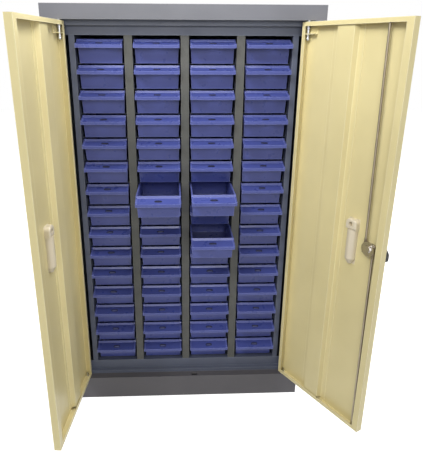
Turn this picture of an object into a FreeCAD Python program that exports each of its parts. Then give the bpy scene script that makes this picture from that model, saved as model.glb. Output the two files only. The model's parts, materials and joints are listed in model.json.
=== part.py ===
import FreeCAD
import Part
import math
import os

# Parts bin cabinet: steel carcass, two hinged doors and sixty plastic drawers.
# Millimetres, X to the right, front towards -Y, Z up.
# The origin is the middle of the footprint, on the surface that it stands on.

V = FreeCAD.Vector

# General values
sheet = 1.0                     # steel sheet of carcass and doors
overrun = 2.0                   # how far a cutter stands past the face that it cuts
running_clearance = 0.05        # radial gap between a pin and its bore
slide_clearance = 0.2           # gap between a sliding piece and what carries it
edge_tolerance = 0.01           # for picking the edges to round

# Pattern of the drawers
columns = 4                     # a count
rows = 15                       # a count
column_pitch = 118.8
row_pitch = 52.4
single_rows = (6, 7, 8, 9, 10)  # numbers of the rows whose drawers have a node each
pull_row7_column2 = 100.0       # how far the three open drawers stand out
pull_row7_column3 = 95.0
pull_row9_column3 = 82.0

# Carcass, from the middle outwards
divider_width = 17.0
jamb_width = 11.7
side_recess = 24.2
stile_width = 23.0

# Carcass, from the floor up
plinth_height = 59.0
sill_height = 31.4
stop_strip_sill = 8.0
drawer_rise = 2.0               # gap under the lowest drawer
top_clearance = 5.7
header_height = 18.4
stop_strip_header = 10.5
rail_return = 15.0              # flanges of header and sill, back over and under the drawers
cap_height = 29.0

# Carcass, from the front back
leaf_lip_gap = 3.0              # closed door to the lips of the drawers
stop_gap = 6.0                  # closed door to the stop strips
drawer_setback = 11.0           # faces of the dividers to the front edges of the drawers' mouths
back_clearance = 8.0
return_width = 20.0             # inward flanges of cap and plinth

# Drawer
lip_side_gap = 2.9              # lip to divider
rim_overhang = 1.0              # rim and lip, out from the side of the drawer
row_gap = 3.9                   # top of a drawer to the underside of the next
drawer_depth = 172.0
drawer_wall = 2.0
drawer_draft = 2.3              # how far the walls lean in from top to bottom
drawer_corner = 3.0
lip_reach = 26.5                # nose of the lip, ahead of the top edge
lip_drop = 17.2                 # underside of the lip, below the top edge
lip_nose = 7.7                  # height of the upright nose
brow_depth = 2.0                # foot of the leaning bead under the top edge, ahead of it
brow_drop = 3.0                 # upper end of the slope, below the top edge
gusset_width = 3.0
strip_recess = 1.5              # label strip, below the edges of the gussets
slot_length = 14.0
slot_width = 6.0
rim_thickness = 2.0

# Drawer runner
runner_flange = 10.0
runner_leg = 13.0
runner_setback = 6.0            # fronts of the drawers to the front ends of the runners
runner_margin = 12.0            # how much shorter than the drawer a runner is

# Door leaf, in leaf coordinates: u from the pivot to the free edge, n to the inside
leaf_thickness = 14.5
pivot_edge = 9.5                # pivot to the hinge edge
pivot_skin = 6.5                # pivot to the outer skin
leaf_clearance = 0.5            # between the swinging corner and the stile
door_gap = 2.5                  # above and below the leaf
centre_gap = 3.0                # between the two leaves
open_limit = 120.0              # widest opening of a door, degrees
left_opening = 95.3             # degrees
right_opening = 119.5           # degrees
hinge_return = 8.0
free_return = 14.5
end_return = 8.2

# Door stiffener
stiffener_place_share = 0.4368  # middle of the stiffener across the leaf, from the hinge edge
stiffener_width = 51.0          # at its foot
stiffener_lean = 5.0            # how far each wall leans in from foot to crest
stiffener_height = 10.5
weld_flange = 12.0
notch_width = 14.0
notch_height = 8.0

# Handle cup
handle_place_share = 0.682      # across the leaf, from the hinge edge
handle_drop = 37.0              # lower end of the trough, below the lock
handle_height = 64.0
handle_radius = 11.5
handle_wall = 1.5
handle_axis_depth = 1.0         # axis of the trough, inwards from the skin
handle_taper = 12.0
handle_tip_radius = 5.0
boss_width = 27.0
boss_height = 22.0
boss_depth = 11.5
boss_crown = 10.0               # radius of the two upper corners
boss_corner = 3.0               # radius of the inner edges
boss_hole_radius = 5.0
boss_hole_depth = 8.0
bezel_width = 42.0
bezel_margin = 5.0
bezel_thickness = 1.5
bezel_corner = 6.0
cutout_clearance = 0.3

# Hinge pins
pin_radius = 3.0
pin_engagement = 6.0            # above the underside of the cap
pin_travel = 9.0
ball_radius = 4.0
ball_gap = 4.5                  # under the bracket shelf
collar_margin = 1.5             # collar, out from the pin
collar_height = 2.0
shelf_drop = 22.5               # top of the bracket shelf, below the top of the leaf
shelf_thickness = 1.5
shelf_length = 22.0
shelf_depth = 11.0
bracket_rise = 12.0
bracket_hole_clearance = 0.1

# Bottom pivots
pivot_radius = 3.0
washer_radius = 7.0
pivot_rise = 9.5                # pin, above the bottom flange of the leaf

# Lock
lock_place_share = 0.8617       # across the leaf, from the hinge edge
barrel_radius = 8.0
barrel_reach = 5.5              # inner end, inwards from the skin
lock_flange_radius = 12.0
lock_flange_thickness = 2.5
nut_sides = 6                   # a count
nut_flats = 22.0
nut_thickness = 3.0
plug_radius = 4.5
cam_radius = 15.0
cam_thickness = 2.0
cam_gap = 0.4                   # between the rod plates and the cam
cam_nut_flats = 14.0
cam_nut_height = 2.6
stud_circle = 10.0
stud_radius = 2.0
stud_head_radius = 2.5
stud_head_height = 1.5
key_blade_width = 8.0
key_blade_thickness = 2.0
key_reach = 32.0
key_head_width = 24.0
key_head_drop = 36.0
key_shoulder_drop = 20.5
key_neck_drop = 10.0
key_head_thickness = 9.0
key_knuckle_radius = 4.5
key_head_corner = 2.5

# Lock rods
rod_radius = 2.25
rod_plate_thickness = 2.0
rod_plate_gap = 0.5             # between the barrel and the rod plates
rod_shank_width = 6.0
rod_shank_margin = 5.0          # end of the flat shank, past the cam
fork_clearance = 0.4
fork_wall = 2.2
fork_mouth_gap = 0.5            # open end of the fork, from the plug
top_rod_start = 9.0             # offset of the rod from the lock axis, near the lock
top_rod_end = 16.6              # the same at the top of the leaf
bottom_rod_start = 11.6
bottom_rod_end = 15.6
rod_hole_clearance = 0.15
strike_radius = 5.0
strike_slot_length = 15.0
strike_slot_width = 7.0

# Places worked out from the sizes above
opening_width = column_pitch - divider_width
lip_width = opening_width - 2 * lip_side_gap
drawer_width = lip_width - 2 * rim_overhang
drawer_height = row_pitch - row_gap
lip_base = drawer_height - lip_drop
runner_length = drawer_depth - runner_margin
front_recess = leaf_thickness + leaf_lip_gap + lip_reach - drawer_setback
stop_projection = front_recess - leaf_thickness - stop_gap
bay_half = (columns * column_pitch - divider_width) / 2
half_width = bay_half + jamb_width + side_recess + stile_width
stile_inner = half_width - stile_width
sill_top = plinth_height + sill_height
header_bottom = sill_top + rows * row_pitch + top_clearance
stop_bottom = header_bottom + header_height
cap_bottom = stop_bottom + stop_strip_header
cabinet_height = cap_bottom + cap_height
cabinet_depth = front_recess + drawer_setback + drawer_depth + back_clearance + sheet
front = -cabinet_depth / 2
rear = cabinet_depth / 2
rail_plane = front + front_recess
stop_plane = rail_plane - stop_projection
drawer_plane = rail_plane + drawer_setback
post_plane = rail_plane + sheet

# The pivot stands clear of the stile for the whole swing of the leaf
limit = math.radians(open_limit)
corner_reach = math.hypot(pivot_edge, pivot_skin) + leaf_clearance
face_reach = (pivot_skin * (1 - math.cos(limit)) + leaf_clearance) / math.sin(limit)
pivot_x = stile_inner - max(corner_reach, face_reach)
pivot_y = front + pivot_skin
leaf_free = pivot_x - centre_gap / 2
leaf_bottom = plinth_height + door_gap
leaf_top = cap_bottom - door_gap
skin_outer = -pivot_skin
skin_inner = skin_outer + sheet
leaf_inner = skin_outer + leaf_thickness
leaf_width = pivot_edge + leaf_free
stiffener_middle = leaf_width * stiffener_place_share - pivot_edge
handle_u = leaf_width * handle_place_share - pivot_edge
lock_u = leaf_width * lock_place_share - pivot_edge
lock_z = (leaf_bottom + leaf_top) / 2
handle_bottom = lock_z - handle_drop
collar_radius = pin_radius + collar_margin
ball_drop = shelf_drop + shelf_thickness + ball_gap + ball_radius

barrel_end = skin_inner + barrel_reach
rod_plate_low = barrel_end + rod_plate_gap
rod_plate_high = rod_plate_low + rod_plate_thickness
rod_n = (rod_plate_low + rod_plate_high) / 2
cam_low = rod_plate_high + cam_gap
cam_high = cam_low + cam_thickness
stud_offset = stud_circle * math.sqrt(0.5)
rod_shank_end = cam_radius + rod_shank_margin
fork_mouth = plug_radius + fork_mouth_gap


def box(x0, x1, y0, y1, z0, z1):
    """Block between two corners."""
    return Part.makeBox(x1 - x0, y1 - y0, z1 - z0, V(x0, y0, z0))


def rod(start, end, radius):
    """Round bar between two points."""
    path = end - start
    return Part.makeCylinder(radius, path.Length, start, path)


def prism(points, path):
    """Outline of points, pushed along a vector."""
    outline = Part.makePolygon(points + points[:1])
    return Part.Face(outline).extrude(path)


def fused(shapes):
    """One solid made of shapes that meet."""
    return shapes[0].fuse(shapes[1:]).removeSplitter()


def save(name, solids):
    """Write the solids of one node."""
    shape = solids[0] if len(solids) == 1 else Part.makeCompound(solids)
    shape.exportStep("parts/" + name + ".step")


def mirrored(shape):
    """The same shape on the other side of the cabinet."""
    return shape.mirror(V(0, 0, 0), V(1, 0, 0))


def hang(shape, side):
    """Move a shape from leaf coordinates to the left (-1) or right (1) door as it stands open."""
    angle = left_opening if side < 0 else right_opening
    placed = shape.copy()
    placed.rotate(V(0, 0, 0), V(0, 0, 1), -angle)
    placed.translate(V(-pivot_x, pivot_y, 0))
    return mirrored(placed) if side > 0 else placed


def upright_bore(x, y, z0, z1, radius):
    """Cutter for a round hole along Z."""
    return rod(V(x, y, z0 - overrun), V(x, y, z1 + overrun), radius)


# Carcass

def top_cap():
    """Cap with the bores of the hinge pins and the strike hole of the upper lock rod."""
    shell = box(-half_width, half_width, front, rear, cap_bottom, cabinet_height)
    shell = shell.cut(box(sheet - half_width, half_width - sheet, front + sheet, rear - sheet,
                          cap_bottom + sheet, cabinet_height - sheet))
    shell = shell.cut(box(return_width - half_width, half_width - return_width,
                          post_plane + sheet, rear - return_width,
                          cap_bottom - overrun, cap_bottom + sheet))
    for x in (-pivot_x, pivot_x):
        bore = pin_radius + running_clearance
        shell = shell.cut(upright_bore(x, pivot_y, cap_bottom, cap_bottom, bore))
    strike_x = pivot_x - lock_u + top_rod_end
    return shell.cut(upright_bore(strike_x, pivot_y + rod_n, cap_bottom, cap_bottom, strike_radius))


def base_plinth():
    """Plinth whose deck has the strike slot of the lower lock rod."""
    shell = box(-half_width, half_width, front, rear, 0, plinth_height)
    shell = shell.cut(box(sheet - half_width, half_width - sheet, front + sheet, rear - sheet,
                          sheet, plinth_height - sheet))
    shell = shell.cut(box(return_width - half_width, half_width - return_width,
                          front + return_width, rear - return_width, -overrun, sheet))
    strike_x = pivot_x - lock_u - bottom_rod_end
    strike_y = pivot_y + rod_n
    slot = box(strike_x - strike_slot_length / 2, strike_x + strike_slot_length / 2,
               strike_y - strike_slot_width / 2, strike_y + strike_slot_width / 2,
               plinth_height - sheet - overrun, plinth_height + overrun)
    return shell.cut(slot)


def left_side_panel():
    """Side sheet with the front stile and its inward return."""
    side = box(-half_width, sheet - half_width, front, rear, plinth_height, cap_bottom)
    stile = box(-half_width, -stile_inner, front, front + sheet, plinth_height, cap_bottom)
    inward = box(-stile_inner - sheet, -stile_inner, front, rail_plane, plinth_height, cap_bottom)
    return fused([side, stile, inward])


def back_panel():
    """Rear sheet between the side sheets."""
    return box(sheet - half_width, half_width - sheet, rear - sheet, rear, plinth_height, cap_bottom)


def stepped_rail(stop_end, step, opening_edge):
    """Folded rail: a door stop strip, a step, the face beside the drawers and a flange back in
    each column."""
    inward = sheet if stop_end > step else -sheet
    outline = [V(-stile_inner, stop_plane, stop_end), V(-stile_inner, stop_plane, step),
               V(-stile_inner, rail_plane, step), V(-stile_inner, rail_plane, opening_edge),
               V(-stile_inner, post_plane, opening_edge), V(-stile_inner, post_plane, step + inward),
               V(-stile_inner, stop_plane + sheet, step + inward),
               V(-stile_inner, stop_plane + sheet, stop_end)]
    shapes = [prism(outline, V(2 * stile_inner, 0, 0))]
    low, high = sorted((opening_edge, opening_edge + inward))
    for column in range(1, columns + 1):
        middle = column_x(column)
        shapes.append(box(middle - opening_width / 2, middle + opening_width / 2,
                          rail_plane, rail_plane + rail_return, low, high))
    return fused(shapes)


def post(x0, x1, walls):
    """Upright channel: a face between x0 and x1 and walls back to the rear sheet."""
    shapes = [box(x0, x1, post_plane, post_plane + sheet, plinth_height, cap_bottom)]
    for x in walls:
        shapes.append(box(x, x + sheet, post_plane, rear - sheet, plinth_height, cap_bottom))
    return fused(shapes)


def left_jamb():
    """Outer wall of the drawer bay."""
    return post(-bay_half - jamb_width, -bay_half, [-bay_half - sheet])


def divider(x):
    """Hollow divider about x."""
    edge = divider_width / 2
    return post(x - edge, x + edge, [x - edge, x + edge - sheet])


def column_x(column):
    """Middle of a column, counted from 1 on the left."""
    return (column - (columns + 1) / 2) * column_pitch


def row_z(row):
    """Underside of the drawers of a row, counted from 1 at the top."""
    return sill_top + drawer_rise + (rows - row) * row_pitch


def drawer_runners():
    """An angle each side of every drawer, under its bottom corner."""
    edge = opening_width / 2
    top = -slide_clearance
    low = top - sheet
    start = drawer_plane + runner_setback
    outline = [V(edge, start, low), V(edge, start, low + runner_leg),
               V(edge - sheet, start, low + runner_leg), V(edge - sheet, start, top),
               V(edge - runner_flange, start, top), V(edge - runner_flange, start, low)]
    right = prism(outline, V(0, runner_length, 0))
    pair = [mirrored(right), right]
    solids = []
    for row in range(1, rows + 1):
        for column in range(1, columns + 1):
            for runner in pair:
                solids.append(runner.translated(V(column_x(column), 0, row_z(row))))
    return solids


# Drawers

def slope_z(y):
    """Height of the edge of a gusset at a distance y behind the top edge."""
    low = lip_base + lip_nose
    high = drawer_height - brow_drop
    return low + (y + lip_reach) * (high - low) / (lip_reach - brow_depth)


def lip_section(edge_drop):
    """Outline of the lip, with its slope edge_drop below the edge of the gussets."""
    nose = -lip_reach
    return [V(0, nose, lip_base), V(0, nose, slope_z(nose) - edge_drop),
            V(0, -brow_depth, slope_z(-brow_depth) - edge_drop),
            V(0, 0, drawer_height), V(0, drawer_wall, drawer_height)]


def tub_block(inset, z0, z1):
    """Block that leans in like the walls of a drawer, inset from their outside."""
    low = inset + drawer_draft * (1 - z0 / drawer_height)
    high = inset + drawer_draft * (1 - z1 / drawer_height)
    half = drawer_width / 2
    block = Part.makeWedge(low - half, z0, low - drawer_depth, high - drawer_depth, high - half,
                           half - low, z1, -low, -high, half - high)
    block.rotate(V(0, 0, 0), V(1, 0, 0), 90)
    return block


def drawer():
    """One drawer about x = 0, with its top edge at y = 0 and its underside at z = 0."""
    tub = tub_block(0, 0, drawer_height)
    rear_edges = [edge for edge in tub.Edges
                  if all(vertex.Y > drawer_depth / 2 for vertex in edge.Vertexes)
                  and abs(edge.Vertexes[0].Z - edge.Vertexes[1].Z) > edge_tolerance]
    tub = tub.makeFillet(drawer_corner, rear_edges)
    rim = box(-lip_width / 2, lip_width / 2, 0, drawer_depth - drawer_corner,
              drawer_height - rim_thickness, drawer_height)
    shape = tub.fuse(rim).cut(tub_block(drawer_wall, drawer_wall, drawer_height + overrun))

    cosine = math.cos(math.atan2(slope_z(0) - slope_z(-lip_reach), lip_reach))
    recess = strip_recess / cosine
    inner = (strip_recess + drawer_wall) / cosine
    gusset_outline = lip_section(0) + [V(0, drawer_wall, lip_base)]
    strip_outline = lip_section(recess) + [
        V(0, drawer_wall, slope_z(drawer_wall) - inner),
        V(0, drawer_wall - lip_reach, slope_z(drawer_wall - lip_reach) - inner),
        V(0, drawer_wall - lip_reach, lip_base)]
    inside = lip_width / 2 - gusset_width
    strip = prism(strip_outline, V(2 * inside, 0, 0)).translated(V(-inside, 0, 0))
    gusset = prism(gusset_outline, V(gusset_width, 0, 0))
    left = gusset.translated(V(-lip_width / 2, 0, 0))
    right = gusset.translated(V(inside, 0, 0))
    shape = fused([shape, strip, left, right])

    middle = -(lip_reach + brow_depth) / 2
    end = (slot_length - slot_width) / 2
    low = lip_base
    high = drawer_height + overrun
    slot = box(-end, end, middle - slot_width / 2, middle + slot_width / 2, low, high)
    for x in (-end, end):
        slot = slot.fuse(rod(V(x, middle, low), V(x, middle, high), slot_width / 2))
    return shape.cut(slot)


def placed_drawer(shape, row, column, pull):
    """A drawer in its opening, pulled out by a length."""
    return shape.translated(V(column_x(column), drawer_plane - pull, row_z(row)))


# Door leaf

def door_panel(side):
    """Folded pan with returns on all four edges."""
    shell = box(-pivot_edge, leaf_free, skin_outer, leaf_inner, leaf_bottom, leaf_top)
    shell = shell.cut(box(sheet - pivot_edge, leaf_free - sheet, skin_inner, leaf_inner - sheet,
                          leaf_bottom + sheet, leaf_top - sheet))
    shell = shell.cut(box(hinge_return - pivot_edge, leaf_free - free_return,
                          leaf_inner - sheet, leaf_inner + overrun,
                          leaf_bottom + end_return, leaf_top - end_return))
    bore = pin_radius + running_clearance
    shell = shell.cut(upright_bore(0, 0, leaf_top - sheet, leaf_top, bore))
    bore = pivot_radius + running_clearance
    shell = shell.cut(upright_bore(0, 0, leaf_bottom, leaf_bottom + sheet, bore))
    for cutter in handle_cutters():
        shell = shell.cut(cutter)
    if side > 0:
        shell = shell.cut(rod(V(lock_u, skin_outer - overrun, lock_z),
                              V(lock_u, skin_inner + overrun, lock_z),
                              barrel_radius + running_clearance))
        for line in (top_rod_line(), bottom_rod_line()):
            path = line[1] - line[0]
            past = line[1] + path * (overrun / path.Length)
            shell = shell.cut(rod(line[0], past, rod_radius + rod_hole_clearance))
    return hang(shell, side)


def door_stiffener(side):
    """Hat section along the whole leaf, with a notch at the bottom."""
    foot = stiffener_width / 2
    crest = foot - stiffener_lean
    low = skin_inner
    high = skin_inner + stiffener_height
    outline = [V(-foot - weld_flange, low, 0), V(sheet - foot, low, 0),
               V(sheet - crest, high - sheet, 0), V(crest - sheet, high - sheet, 0),
               V(foot - sheet, low, 0), V(foot + weld_flange, low, 0),
               V(foot + weld_flange, low + sheet, 0), V(foot, low + sheet, 0),
               V(crest, high, 0), V(-crest, high, 0),
               V(-foot, low + sheet, 0), V(-foot - weld_flange, low + sheet, 0)]
    bottom = leaf_bottom + sheet
    hat = prism(outline, V(0, 0, leaf_top - sheet - bottom))
    notch = box(crest - sheet, crest - sheet + notch_width, low - overrun, high + overrun,
                -overrun, notch_height)
    return hang(hat.cut(notch).translated(V(stiffener_middle, 0, bottom)), side)


def handle_cutters():
    """Cutouts of the skin for the trough and the boss of the handle."""
    top = handle_bottom + handle_height
    reach = handle_radius + cutout_clearance
    trough = box(handle_u - reach, handle_u + reach, skin_outer - overrun, skin_inner + overrun,
                 handle_bottom - handle_taper - cutout_clearance, top)
    reach = boss_width / 2 + cutout_clearance
    boss = box(handle_u - reach, handle_u + reach, skin_outer - overrun, skin_inner + overrun,
               top - cutout_clearance, top + boss_height + cutout_clearance)
    return [trough, boss]


def handle_cup(side):
    """Recessed handle: bezel outside, half round trough inside, boss above it."""
    axis = skin_inner + handle_axis_depth
    top = handle_bottom + handle_height
    boss_top = top + boss_height
    tip = handle_bottom - handle_taper
    body = rod(V(handle_u, axis, handle_bottom), V(handle_u, axis, top), handle_radius)
    taper = Part.makeCone(handle_tip_radius, handle_radius, handle_taper, V(handle_u, axis, tip))
    body = body.fuse(taper)
    body = body.cut(box(handle_u - handle_radius - overrun, handle_u + handle_radius + overrun,
                        axis - handle_radius - overrun, skin_outer, tip - overrun, top + overrun))
    boss = box(handle_u - boss_width / 2, handle_u + boss_width / 2,
               skin_outer, skin_inner + boss_depth, top, boss_top)
    upper_edges = [edge for edge in boss.Edges
                   if abs(edge.Vertexes[0].Y - edge.Vertexes[1].Y) > edge_tolerance
                   and edge.Vertexes[0].Z > top + edge_tolerance]
    boss = boss.makeFillet(boss_crown, upper_edges)
    inner_edges = [edge for edge in boss.Edges
                   if all(vertex.Y > skin_inner + edge_tolerance for vertex in edge.Vertexes)]
    boss = boss.makeFillet(boss_corner, inner_edges)
    middle = top + boss_height / 2
    boss = boss.cut(rod(V(handle_u, skin_inner + boss_depth - boss_hole_depth, middle),
                        V(handle_u, skin_inner + boss_depth + overrun, middle), boss_hole_radius))
    bezel = box(handle_u - bezel_width / 2, handle_u + bezel_width / 2,
                skin_outer - bezel_thickness, skin_outer, tip - bezel_margin, boss_top + bezel_margin)
    corners = [edge for edge in bezel.Edges
               if abs(edge.Vertexes[0].Y - edge.Vertexes[1].Y) > edge_tolerance]
    bezel = bezel.makeFillet(bezel_corner, corners)
    shape = fused([body, boss, bezel])
    inner = handle_radius - handle_wall
    low = handle_bottom + handle_wall
    high = top - handle_wall
    shape = shape.cut(rod(V(handle_u, axis, low), V(handle_u, axis, high), inner))
    mouth = box(handle_u - inner, handle_u + inner, skin_outer - bezel_thickness - overrun, axis,
                low, high)
    return hang(shape.cut(mouth), side)


def hinge_pin(side):
    """Sliding pin with a collar above the bracket and a ball to pull below it."""
    ball_z = leaf_top - ball_drop
    shaft = rod(V(0, 0, ball_z), V(0, 0, cap_bottom + pin_engagement), pin_radius)
    ball = Part.makeSphere(ball_radius, V(0, 0, ball_z))
    collar_low = leaf_top - shelf_drop + pin_travel + slide_clearance
    collar = rod(V(0, 0, collar_low), V(0, 0, collar_low + collar_height), collar_radius)
    return hang(fused([shaft, ball, collar]), side)


def pin_bracket(side):
    """Angle bracket on the skin; its shelf guides the hinge pin."""
    top = leaf_top - shelf_drop
    start = sheet - pivot_edge
    shelf = box(start, shelf_length, skin_inner, skin_inner + shelf_depth, top - shelf_thickness, top)
    back = box(start, shelf_length, skin_inner, skin_inner + shelf_thickness,
               top - shelf_thickness, top + bracket_rise)
    bore = pin_radius + bracket_hole_clearance
    back = back.cut(upright_bore(0, 0, top, top + bracket_rise, collar_radius + slide_clearance))
    return hang(fused([shelf, back]).cut(upright_bore(0, 0, top, top, bore)), side)


def bottom_pivots():
    """Pins on the deck that carry the doors on a washer."""
    solids = []
    for x in (-pivot_x, pivot_x):
        washer = rod(V(x, pivot_y, plinth_height), V(x, pivot_y, leaf_bottom), washer_radius)
        pin = rod(V(x, pivot_y, plinth_height),
                  V(x, pivot_y, leaf_bottom + sheet + pivot_rise), pivot_radius)
        solids.append(fused([washer, pin]))
    return solids


# Lock

def along_n(u, z, n0, n1, radius):
    """Round bar across the leaf."""
    return rod(V(u, n0, z), V(u, n1, z), radius)


def lock_face():
    """Outer face of the lock, as a place across the leaf."""
    return skin_outer - lock_flange_thickness


def lock_nut(flats, n0, thickness):
    """Nut about the lock axis, flats wide."""
    corner = flats / 2 / math.cos(math.pi / nut_sides)
    outline = []
    for step in range(nut_sides):
        turn = 2 * math.pi * step / nut_sides
        outline.append(V(lock_u + corner * math.cos(turn), n0, lock_z + corner * math.sin(turn)))
    return prism(outline, V(0, thickness, 0))


def lock_body():
    """Barrel with its flange outside and its nut inside."""
    flange = along_n(lock_u, lock_z, lock_face(), skin_outer, lock_flange_radius)
    barrel = along_n(lock_u, lock_z, skin_outer, barrel_end, barrel_radius)
    bore = along_n(lock_u, lock_z, lock_face() - overrun, barrel_end + overrun,
                   plug_radius + running_clearance)
    nut = lock_nut(nut_flats, skin_inner, nut_thickness)
    nut = nut.cut(along_n(lock_u, lock_z, skin_inner - overrun, skin_inner + nut_thickness + overrun,
                          barrel_radius + running_clearance))
    return [hang(fused([flange, barrel]).cut(bore), 1), hang(nut, 1)]


def lock_cam():
    """Cam disc with its nut and two studs that drive the rods."""
    shapes = [along_n(lock_u, lock_z, cam_low, cam_high, cam_radius),
              lock_nut(cam_nut_flats, cam_high, cam_nut_height)]
    for sign in (-1, 1):
        u = lock_u + sign * stud_offset
        z = lock_z + sign * stud_offset
        shapes.append(along_n(u, z, barrel_end + slide_clearance, cam_high, stud_radius))
        shapes.append(along_n(u, z, cam_high, cam_high + stud_head_height, stud_head_radius))
    return hang(fused(shapes), 1)


def lock_key():
    """Plug with the blade of the key in it."""
    plug = along_n(lock_u, lock_z, lock_face(), cam_low, plug_radius)
    blade = box(lock_u - key_blade_thickness / 2, lock_u + key_blade_thickness / 2,
                lock_face() - key_reach, lock_face(),
                lock_z - key_blade_width / 2, lock_z + key_blade_width / 2)
    return hang(fused([plug, blade]), 1)


def key_head():
    """Plastic head, folded down from its knuckle."""
    n = lock_face() - key_reach
    wide = key_head_width / 2
    knuckle = key_knuckle_radius
    bottom = lock_z - key_head_drop
    shoulder = lock_z - key_shoulder_drop
    neck = lock_z - key_neck_drop
    outline = [V(lock_u - wide, n, bottom), V(lock_u + wide, n, bottom),
               V(lock_u + wide, n, shoulder), V(lock_u + knuckle, n, neck),
               V(lock_u + knuckle, n, lock_z), V(lock_u - knuckle, n, lock_z),
               V(lock_u - knuckle, n, neck), V(lock_u - wide, n, shoulder)]
    head = prism(outline, V(0, -key_head_thickness, 0))
    lower = lock_z - (key_head_drop + key_shoulder_drop) / 2
    corners = [edge for edge in head.Edges
               if abs(edge.Vertexes[0].Y - edge.Vertexes[1].Y) > edge_tolerance
               and edge.Vertexes[0].Z < lower]
    head = head.makeFillet(key_head_corner, corners)
    return hang(fused([head, along_n(lock_u, lock_z, n - key_head_thickness, n, knuckle)]), 1)


def top_rod_line():
    """Ends of the round stretch of the upper rod."""
    return (V(lock_u - top_rod_start, rod_n, lock_z + rod_shank_end - rod_radius),
            V(lock_u - top_rod_end, rod_n, leaf_top))


def bottom_rod_line():
    """Ends of the round stretch of the lower rod."""
    return (V(lock_u + bottom_rod_start, rod_n, lock_z - rod_shank_end + rod_radius),
            V(lock_u + bottom_rod_end, rod_n, leaf_bottom))


def lock_rod(sign, start, line):
    """Rod with a flat fork over its stud: sign -1 for the upper rod, 1 for the lower rod."""
    slot = stud_radius + fork_clearance
    outer = stud_circle + slot + fork_wall
    middle = lock_z + sign * stud_offset
    low, high = sorted((lock_u + sign * fork_mouth, lock_u + sign * outer))
    fork = box(low, high, rod_plate_low, rod_plate_high,
               middle - slot - fork_wall, middle + slot + fork_wall)
    centre = lock_u + sign * start
    z0, z1 = sorted((middle, lock_z - sign * rod_shank_end))
    shank = box(centre - rod_shank_width / 2, centre + rod_shank_width / 2,
                rod_plate_low, rod_plate_high, z0, z1)
    low, high = sorted((lock_u, lock_u + sign * (stud_circle + slot)))
    mouth = box(low, high, rod_plate_low - overrun, rod_plate_high + overrun,
                middle - slot, middle + slot)
    flat = fused([fork, shank]).cut(mouth)
    return hang(fused([flat, rod(line[0], line[1], rod_radius)]), 1)


def main():
    """Write every node."""
    os.makedirs("parts", exist_ok=True)
    save("top_cap", [top_cap()])
    save("base_plinth", [base_plinth()])
    save("left_side_panel", [left_side_panel()])
    save("right_side_panel", [mirrored(left_side_panel())])
    save("back_panel", [back_panel()])
    save("header_rail", [stepped_rail(cap_bottom, stop_bottom, header_bottom)])
    save("sill_rail", [stepped_rail(plinth_height, plinth_height + stop_strip_sill, sill_top)])
    save("left_jamb", [left_jamb()])
    save("right_jamb", [mirrored(left_jamb())])
    for number in range(1, columns):
        save("divider_%d" % number, [divider(column_x(number) + column_pitch / 2)])
    save("drawer_runners", drawer_runners())
    save("bottom_pivots", bottom_pivots())

    pulls = {(7, 2): pull_row7_column2, (7, 3): pull_row7_column3, (9, 3): pull_row9_column3}
    shape = drawer()
    for row in range(1, rows + 1):
        placed = [placed_drawer(shape, row, column, pulls.get((row, column), 0))
                  for column in range(1, columns + 1)]
        if row in single_rows:
            for column in range(1, columns + 1):
                save("drawer_row%02d_column%d" % (row, column), [placed[column - 1]])
        else:
            save("drawer_row%02d" % row, placed)

    for side, name in ((-1, "left"), (1, "right")):
        save(name + "_door_panel", [door_panel(side)])
        save(name + "_door_stiffener", [door_stiffener(side)])
        save(name + "_handle_cup", [handle_cup(side)])
        save(name + "_hinge_pin", [hinge_pin(side)])
        save(name + "_pin_bracket", [pin_bracket(side)])

    save("lock_body", lock_body())
    save("lock_cam", [lock_cam()])
    save("lock_key", [lock_key()])
    save("key_head", [key_head()])
    save("lock_rod_top", [lock_rod(-1, top_rod_start, top_rod_line())])
    save("lock_rod_bottom", [lock_rod(1, bottom_rod_start, bottom_rod_line())])


main()
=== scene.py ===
import json
import math

import bmesh
import bpy
from mathutils import Matrix, Vector


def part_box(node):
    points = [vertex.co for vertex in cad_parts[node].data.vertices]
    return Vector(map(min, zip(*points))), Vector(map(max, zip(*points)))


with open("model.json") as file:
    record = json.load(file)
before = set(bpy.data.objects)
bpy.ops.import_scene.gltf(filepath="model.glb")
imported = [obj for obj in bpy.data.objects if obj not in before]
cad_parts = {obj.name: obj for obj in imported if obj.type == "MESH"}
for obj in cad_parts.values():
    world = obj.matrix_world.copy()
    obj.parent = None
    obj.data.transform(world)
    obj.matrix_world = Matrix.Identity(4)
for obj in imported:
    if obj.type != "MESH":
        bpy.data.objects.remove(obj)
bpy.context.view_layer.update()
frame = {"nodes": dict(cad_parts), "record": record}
nodes = frame["nodes"]
scene = bpy.context.scene
scene.view_settings.view_transform = "Standard"

# Camera, solved from the photograph: place in metres, turns in degrees
camera_place = (-0.02373, -1.18502, 0.85769)
camera_yaw = -2.579
camera_pitch = -19.831
camera_roll = 0.655
focal_pixels = 494.626
photo_width = 423
photo_height = 456
centre_pixel_x = 195.771
centre_pixel_y = 226.388
sensor_width = 36.0             # millimetres
clip_start = 0.05

# Drawers, in metres
column_pitch = 0.1188
slot_reach = 0.0075             # half the length of a label slot
slot_from = 0.0085              # slot, behind the nose of the lip
slot_to = 0.016
row_pitch = 0.0524
row_base = 0.04                 # one pitch below the floor of the lowest row
slot_height = 0.0407            # middle of a slot, above the floor of its drawer
shaded_oval = (0.0081, 0.0011)  # half length and half rise of the oval of painted shade about a slot
unhighlighted_oval = (0.0098, 0.0018)  # the same of the oval without painted edge highlights
oval_rim = (1.15, 0.85)         # where an oval fades in, as a share of its size
oval_squareness = 4.0           # power that makes the ends of an oval blunt
lip_rise = 0.9                  # upward part of the normal of the lips, at the least

# Edges: painted pale highlights, and rounding, in metres and degrees
highlight_radius = 0.0016
highlight_spread = 0.08
highlight_samples = 6
rounding_width = 0.0003
rounding_angle = 40.0

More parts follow.
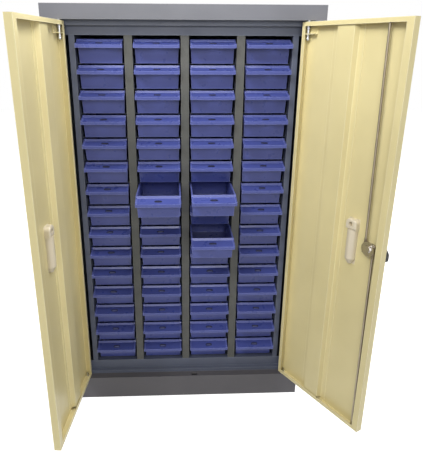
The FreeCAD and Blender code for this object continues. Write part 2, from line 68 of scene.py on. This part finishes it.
# Floor, in metres
floor_size = 6.0
floor_drop = 0.0005
floor_tone = 0.4
shadow_from = 0.3
shadow_to = 0.8
shadow_glow = 0.93
footprint = (0.28, 0.105)       # half the floor that the object covers, which stays dark

# Lamps: name, place, target, size, power in watts
lamps = (
    ("right_high", (1.2, -0.27, 3.0), (0.0, -0.1, 0.5), (0.8, 0.8), 39.0),
    ("left_high", (-2.5, -1.1, 3.0), (0.0, -0.1, 0.5), (1.1, 1.1), 3.0),
    ("left_front", (-2.08, -2.5, 3.38), (0.0, -0.1, 0.5), (1.2, 1.2), 79.0),
    ("left_low", (-2.6, -1.9, 0.8), (0.0, -0.1, 0.5), (1.2, 1.2), 6.0),
    ("close_over", (0.0, -0.38, 1.2), (0.0, -0.1, 0.75), (0.45, 0.2), 2.1),
    ("front_level", (0.0, -2.3, 1.45), (0.0, 0.0, 0.6), (1.0, 0.6), 15.0),
    ("right_low", (2.2, -2.0, 0.9), (0.0, -0.1, 0.5), (1.0, 1.0), 16.0),
    ("back_left", (-1.2, 2.0, 1.9), (0.0, 0.1, 0.5), (1.0, 1.0), 30.0),
    ("back_right", (1.2, 2.0, 1.9), (0.0, 0.1, 0.5), (1.0, 1.0), 30.0),
)

# Shares of a colour that its darker places keep
speckle_shade = (0.45, 0.45, 0.45)
dull_shade = (0.8, 0.8, 0.82)

# Plain light from all round
ambient_colour = (0.94, 0.97, 1.0, 1.0)
ambient_strength = 0.05


def srgb(red, green, blue):
    """Colour of 0 to 255 sRGB values, as linear numbers with alpha."""
    values = []
    for channel in (red, green, blue):
        share = channel / 255
        values.append(share / 12.92 if share <= 0.04045 else ((share + 0.055) / 1.055) ** 2.4)
    return (*values, 1.0)


def shaded(colour, share):
    """Colour of which each channel keeps a share."""
    return (colour[0] * share[0], colour[1] * share[1], colour[2] * share[2], 1.0)


class Tree:
    """Small helper that adds nodes to a material and links them."""

    def __init__(self, name):
        self.material = bpy.data.materials.new(name)
        self.material.use_nodes = True
        self.tree = self.material.node_tree
        self.shader = self.tree.nodes["Principled BSDF"]

    def add(self, kind, inputs=None, **settings):
        node = self.tree.nodes.new(kind)
        for key, value in settings.items():
            setattr(node, key, value)
        for key, value in (inputs or {}).items():
            self.feed(node.inputs[key], value)
        return node

    def feed(self, socket, value):
        if isinstance(value, bpy.types.NodeSocket):
            self.tree.links.new(value, socket)
        else:
            socket.default_value = value

    def place(self):
        """Object coordinates: metres in the frame of the whole object."""
        return self.add("ShaderNodeTexCoord").outputs["Object"]

    def noise(self, scale, detail=2.0, roughness=0.5, stretch=None):
        vector = self.place()
        if stretch:
            vector = self.add("ShaderNodeMapping", {"Vector": vector, "Scale": stretch}).outputs[0]
        node = self.add("ShaderNodeTexNoise", {"Vector": vector, "Scale": scale, "Detail": detail,
                                               "Roughness": roughness})
        return node.outputs["Fac"]

    def ramp(self, value, low, high, to_low=0.0, to_high=1.0):
        node = self.add("ShaderNodeMapRange", {"Value": value, "From Min": low, "From Max": high,
                                               "To Min": to_low, "To Max": to_high})
        return node.outputs["Result"]

    def mix(self, factor, first, second):
        node = self.add("ShaderNodeMix", data_type="RGBA")
        self.feed(node.inputs["Factor"], factor)
        self.feed(node.inputs[6], first)
        self.feed(node.inputs[7], second)
        return node.outputs[2]

    def math(self, operation, first, second):
        return self.add("ShaderNodeMath", {0: first, 1: second}, operation=operation).outputs[0]

    def vector_math(self, operation, inputs):
        return self.add("ShaderNodeVectorMath", inputs, operation=operation).outputs

    def painted_edge_highlights(self):
        """1 along the edges of a shape, where pale highlights are painted, and 0 on its flats."""
        rounded = self.add("ShaderNodeBevel", {"Radius": highlight_radius}, samples=highlight_samples)
        flat = self.add("ShaderNodeNewGeometry").outputs["Normal"]
        turn = self.vector_math("DOT_PRODUCT", {0: rounded.outputs[0], 1: flat})["Value"]
        return self.ramp(turn, 1.0, 1.0 - highlight_spread)

    def around_slots(self, half_length, half_rise):
        """1 in an oval about the label slot of every drawer, by its place across and its height."""
        x, _, z = self.add("ShaderNodeSeparateXYZ", {0: self.place()}).outputs
        fold = column_pitch / 2
        across = self.math("SUBTRACT", fold, self.math("PINGPONG", x, fold))
        height = self.math("MODULO", self.math("SUBTRACT", z, row_base), row_pitch)
        rise = self.math("SUBTRACT", height, slot_height)
        along = self.math("POWER", self.math("DIVIDE", across, half_length), oval_squareness)
        rise = self.math("DIVIDE", rise, half_rise)
        return self.ramp(self.math("ADD", along, self.math("MULTIPLY", rise, rise)), *oval_rim)

    def faces_up(self):
        """1 on faces that look up, such as the lips, and 0 on the others."""
        normal = self.add("ShaderNodeNewGeometry").outputs["True Normal"]
        rise = self.add("ShaderNodeSeparateXYZ", {0: normal}).outputs["Z"]
        return self.math("GREATER_THAN", rise, lip_rise)

    def bump(self, height, distance):
        inputs = {"Height": height, "Distance": distance, "Strength": 1.0}
        return self.add("ShaderNodeBump", inputs).outputs["Normal"]


def powder_coat(name, colour, darker, roughness, peel_scale, peel_height, speckle=0.0, edge_highlight=None):
    """Baked powder coat: orange peel, uneven tone and gloss, some with speckle or painted pale
    highlights along the edges.
    """
    tree = Tree(name)
    tone = tree.mix(tree.ramp(tree.noise(5.0, 3.0), 0.35, 0.65), colour, darker)
    if speckle:
        grain = tree.ramp(tree.noise(900.0, 2.0, 0.6), 0.52, 0.62)
        dark = shaded(darker, speckle_shade)
        tone = tree.mix(tree.math("MULTIPLY", grain, speckle), tone, dark)
    # Painted highlight: a paler tone along the edges.
    if edge_highlight:
        tone = tree.mix(tree.painted_edge_highlights(), tone, edge_highlight)
    tree.feed(tree.shader.inputs["Base Color"], tone)
    gloss = tree.ramp(tree.noise(22.0, 4.0, 0.6), 0.3, 0.7, roughness - 0.05, roughness + 0.07)
    tree.feed(tree.shader.inputs["Roughness"], gloss)
    peel = tree.bump(tree.noise(peel_scale), peel_height)
    tree.feed(tree.shader.inputs["Normal"], peel)
    return tree.material


def moulded_plastic(name, colour, darker, roughness, grain_scale, grain_height, edge_highlight=None,
                    slots=None):
    """Moulded plastic: fine grain, flow marks and scuffs, some with painted pale highlights along
    the edges or painted shade about the label slots.
    """
    tree = Tree(name)
    flow = tree.noise(9.0, 3.0, 0.55, stretch=(0.4, 1.0, 1.6))
    tone = tree.mix(tree.ramp(flow, 0.32, 0.68), colour, darker)
    scuff = tree.ramp(tree.noise(60.0, 3.0), 0.35, 0.7, roughness - 0.03, roughness + 0.05)
    # Painted highlight: a paler tone along the edges, left off about the label slots.
    if edge_highlight:
        highlighted = tree.painted_edge_highlights()
        if slots:
            away = tree.math("SUBTRACT", 1.0, tree.around_slots(*unhighlighted_oval))
            highlighted = tree.math("MULTIPLY", highlighted, away)
        tone = tree.mix(highlighted, tone, edge_highlight)
    # Painted shade: a dark oval about each label slot, on the faces that look up, and rougher
    # there.
    if slots:
        shade = tree.math("MULTIPLY", tree.around_slots(*shaded_oval), tree.faces_up())
        tone = tree.mix(shade, tone, slots)
        scuff = tree.math("MAXIMUM", scuff, shade)
    tree.feed(tree.shader.inputs["Base Color"], tone)
    tree.feed(tree.shader.inputs["Roughness"], scuff)
    grain = tree.bump(tree.noise(grain_scale, 2.0, 0.6), grain_height)
    tree.feed(tree.shader.inputs["Normal"], grain)
    return tree.material


def metal(name, colour, roughness, brush_scale, brush_height, stretch):
    """Plated metal with fine brushing."""
    tree = Tree(name)
    tree.shader.inputs["Metallic"].default_value = 1.0
    dull = shaded(colour, dull_shade)
    tone = tree.mix(tree.ramp(tree.noise(40.0, 3.0), 0.3, 0.7), colour, dull)
    tree.feed(tree.shader.inputs["Base Color"], tone)
    gloss = tree.ramp(tree.noise(150.0, 3.0), 0.3, 0.7, roughness, roughness + 0.12)
    tree.feed(tree.shader.inputs["Roughness"], gloss)
    brush = tree.bump(tree.noise(brush_scale, stretch=stretch), brush_height)
    tree.feed(tree.shader.inputs["Normal"], brush)
    return tree.material


# Colours given for the edges of the materials below are painted pale highlights.
materials = {
    "grey_frame_paint": powder_coat("frame_paint", srgb(91, 97, 114), srgb(81, 86, 102), 0.42,
                                    700.0, 0.00006, edge_highlight=srgb(112, 117, 129)),
    "grey_cap_paint": powder_coat("cap_paint", srgb(104, 105, 112), srgb(96, 97, 103), 0.4,
                                  700.0, 0.00006, edge_highlight=srgb(128, 129, 135)),
    "grey_plinth_paint": powder_coat("plinth_paint", srgb(86, 84, 88), srgb(78, 76, 80), 0.42,
                                     700.0, 0.00006, edge_highlight=srgb(98, 96, 100)),
    "grey_divider_paint": powder_coat("divider_paint", srgb(88, 88, 85), srgb(77, 78, 74), 0.5,
                                      600.0, 0.0001, speckle=0.5, edge_highlight=srgb(108, 107, 103)),
    "runner_paint": powder_coat("runner_paint", srgb(60, 67, 82), srgb(52, 58, 71), 0.45,
                                700.0, 0.00006),
    "cream_door_paint": powder_coat("door_paint", srgb(224, 211, 159), srgb(214, 201, 150), 0.36,
                                    500.0, 0.00008, edge_highlight=srgb(240, 232, 196)),
    "cream_plastic": moulded_plastic("handle_plastic", srgb(222, 211, 187), srgb(214, 202, 178),
                                     0.32, 900.0, 0.00002),
    # The slot colour of the drawers is painted shade about their label slots.
    "blue_plastic": moulded_plastic("drawer_plastic", srgb(73, 83, 152), srgb(66, 75, 140), 0.3,
                                    1400.0, 0.00001, edge_highlight=srgb(118, 126, 188),
                                    slots=srgb(18, 20, 54)),
    "black_plastic": moulded_plastic("key_plastic", srgb(8, 8, 9), srgb(5, 5, 6), 0.55,
                                     1400.0, 0.00003),
    "chrome": metal("chrome", srgb(208, 204, 200), 0.12, 600.0, 0.00001, (1.0, 1.0, 6.0)),
    "zinc_rod": metal("zinc_rod", srgb(158, 148, 130), 0.3, 500.0, 0.00002, (6.0, 6.0, 1.0)),
    "zinc_steel": metal("zinc", srgb(200, 202, 206), 0.22, 500.0, 0.00002, (6.0, 6.0, 1.0)),
}
slot_shade = moulded_plastic("slot_shade", srgb(16, 18, 50), srgb(12, 14, 44), 0.6, 1400.0, 0.00003)


def shade_slots(piece):
    """Dark walls in the label slots of the drawers in a CAD node."""
    mesh = piece.data
    mesh.materials.append(slot_shade)
    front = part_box(piece.name)[0].y
    for face in mesh.polygons:
        back = face.center.y - front
        across = (face.center.x / column_pitch) % 1.0 - 0.5
        if (abs(across) * column_pitch < slot_reach and abs(face.normal.z) < 0.3
                and slot_from < back < slot_to):
            face.material_index = len(mesh.materials) - 1


def dress_cad_nodes():
    """Gives every CAD node its material and fine rounding of its sharp edges."""
    for part in frame["record"]["subparts"]:
        piece = nodes[part["node"]]
        for material_slot in piece.material_slots:
            material_slot.material = materials[part["material_slot"]]
        if part["material_slot"] == "blue_plastic":
            shade_slots(piece)
        rounding = piece.modifiers.new("edge_rounding", "BEVEL")
        rounding.width = rounding_width
        rounding.segments = 2
        rounding.limit_method = "ANGLE"
        rounding.angle_limit = math.radians(rounding_angle)
        rounding.harden_normals = True


def add_camera():
    """Camera at the photograph's viewpoint."""
    data = bpy.data.cameras.new("camera")
    camera = bpy.data.objects.new("camera", data)
    scene.collection.objects.link(camera)
    turn = (Matrix.Rotation(math.radians(camera_roll), 3, "Y")
            @ Matrix.Rotation(math.radians(camera_pitch), 3, "X")
            @ Matrix.Rotation(math.radians(camera_yaw), 3, "Z"))
    right, forward, up = turn.col[0], turn.col[1], turn.col[2]
    basis = Matrix((right, up, -forward)).transposed().to_4x4()
    camera.matrix_world = Matrix.Translation(camera_place) @ basis
    data.sensor_width = sensor_width
    data.lens = focal_pixels / photo_height * sensor_width
    data.shift_x = (photo_width / 2 - centre_pixel_x) / photo_height
    data.shift_y = -(photo_height / 2 - centre_pixel_y) / photo_height
    data.clip_start = clip_start
    scene.camera = camera


def area_light(name, place, target, size, power):
    """Soft lamp that faces a target."""
    data = bpy.data.lights.new(name, "AREA")
    data.shape = "RECTANGLE"
    data.size, data.size_y = size
    data.energy = power
    lamp = bpy.data.objects.new(name, data)
    lamp.visible_camera = False
    lamp.location = place
    lamp.rotation_euler = (Vector(target) - Vector(place)).to_track_quat("-Z", "Y").to_euler()
    scene.collection.objects.link(lamp)


def seen_directly(tree):
    """1 for rays of the camera and of reflections, 0 for light that bounces."""
    path = tree.nodes.new("ShaderNodeLightPath")
    add = tree.nodes.new("ShaderNodeMath")
    add.operation = "ADD"
    add.use_clamp = True
    tree.links.new(path.outputs["Is Camera Ray"], add.inputs[0])
    tree.links.new(path.outputs["Is Glossy Ray"], add.inputs[1])
    return add.outputs[0]


def add_world():
    """White for the camera, a little plain light for the object."""
    world = bpy.data.worlds.new("studio")
    scene.world = world
    world.use_nodes = True
    tree = world.node_tree
    ambient = tree.nodes["Background"]
    ambient.inputs["Color"].default_value = ambient_colour
    ambient.inputs["Strength"].default_value = ambient_strength
    white = tree.nodes.new("ShaderNodeBackground")
    white.inputs["Color"].default_value = (1.0, 1.0, 1.0, 1.0)
    white.inputs["Strength"].default_value = 1.0
    mix = tree.nodes.new("ShaderNodeMixShader")
    tree.links.new(seen_directly(tree), mix.inputs[0])
    tree.links.new(ambient.outputs[0], mix.inputs[1])
    tree.links.new(white.outputs[0], mix.inputs[2])
    tree.links.new(mix.outputs[0], tree.nodes["World Output"].inputs["Surface"])


def add_floor():
    """Floor that looks white, apart from a faint shadow near the object, and dark under it."""
    mesh = bpy.data.meshes.new("floor")
    shape = bmesh.new()
    bmesh.ops.create_grid(shape, x_segments=2, y_segments=2, size=floor_size)
    shape.to_mesh(mesh)
    shape.free()
    floor = bpy.data.objects.new("floor", mesh)
    floor.location.z = -floor_drop
    scene.collection.objects.link(floor)
    tree = Tree("floor")
    tree.tree.nodes.remove(tree.shader)
    grey = (floor_tone, floor_tone, floor_tone, 1.0)
    diffuse = tree.add("ShaderNodeBsdfDiffuse", {"Color": grey}).outputs[0]
    place = tree.place()
    distance = tree.vector_math("LENGTH", {0: place})["Value"]
    fade = tree.ramp(distance, shadow_from, shadow_to, shadow_glow, 1.0)
    reach = tree.vector_math("DIVIDE", {0: place, 1: (*footprint, 1.0)})[0]
    reach = tree.vector_math("ABSOLUTE", {0: reach})[0]
    x, y, _ = tree.add("ShaderNodeSeparateXYZ", {0: reach}).outputs
    outside = tree.math("GREATER_THAN", tree.math("MAXIMUM", x, y), 1.0)
    strength = tree.math("MULTIPLY", fade, outside)
    glow = tree.add("ShaderNodeEmission", {"Strength": strength}).outputs[0]
    both = tree.add("ShaderNodeAddShader", {0: diffuse, 1: glow}).outputs[0]
    surface = tree.add("ShaderNodeMixShader", {0: seen_directly(tree.tree), 1: diffuse, 2: both})
    tree.feed(tree.tree.nodes["Material Output"].inputs["Surface"], surface.outputs[0])
    mesh.materials.append(tree.material)


add_camera()
add_world()
add_floor()
for lamp_values in lamps:
    area_light(*lamp_values)
dress_cad_nodes()
